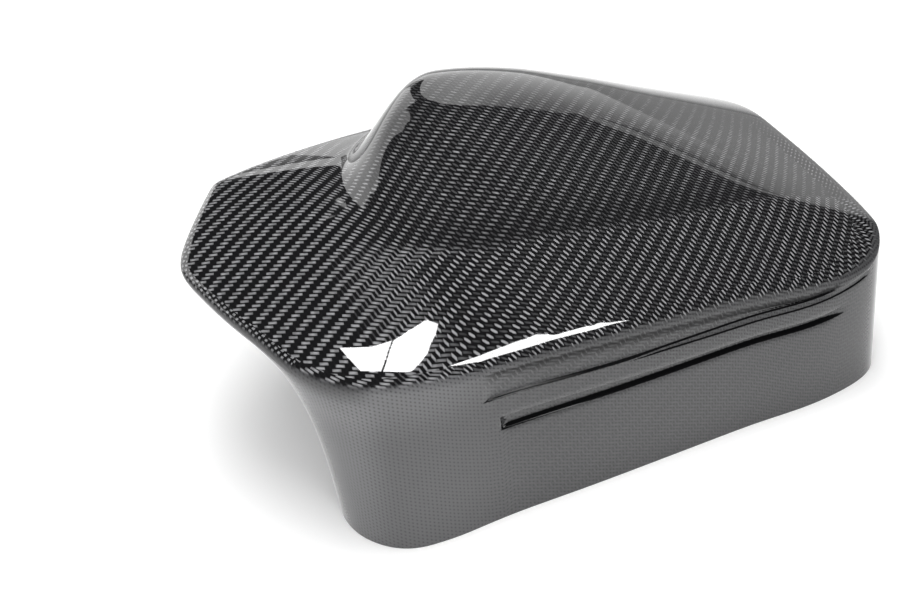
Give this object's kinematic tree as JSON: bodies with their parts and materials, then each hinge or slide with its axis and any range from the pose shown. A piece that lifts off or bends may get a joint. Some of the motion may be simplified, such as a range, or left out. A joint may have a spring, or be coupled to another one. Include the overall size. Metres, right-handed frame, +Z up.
{
  "type": "wing mirror cover",
  "caption": "Carbon fibre cover for a car's wing mirror, open at the back, with an ear at its outboard corner, a creased shelf, a gutter and bonded clips and pins inside.",
  "frame": {"origin": "middle of the cover's outline, on the plane of its rim", "axes": "+X along the cover from the ear to the inboard end, +Y away from the wall with the gutter, +Z up from the rim to the crest"},
  "size_m": [0.2968, 0.1829, 0.1241],
  "materials": {
    "carbon_laminate": "2 by 2 twill carbon fibre under a glossy clear coat",
    "moulded_clip": "satin black moulded plastic"
  },
  "bodies": {
    "root": {"cover_shell": "carbon_laminate", "near_clip_outboard": "moulded_clip", "near_clip_inboard": "moulded_clip", "far_clip_outboard": "moulded_clip", "far_clip_inboard": "moulded_clip", "near_locating_bracket": "moulded_clip", "far_locating_bracket": "moulded_clip"}
  },
  "joints": []
}
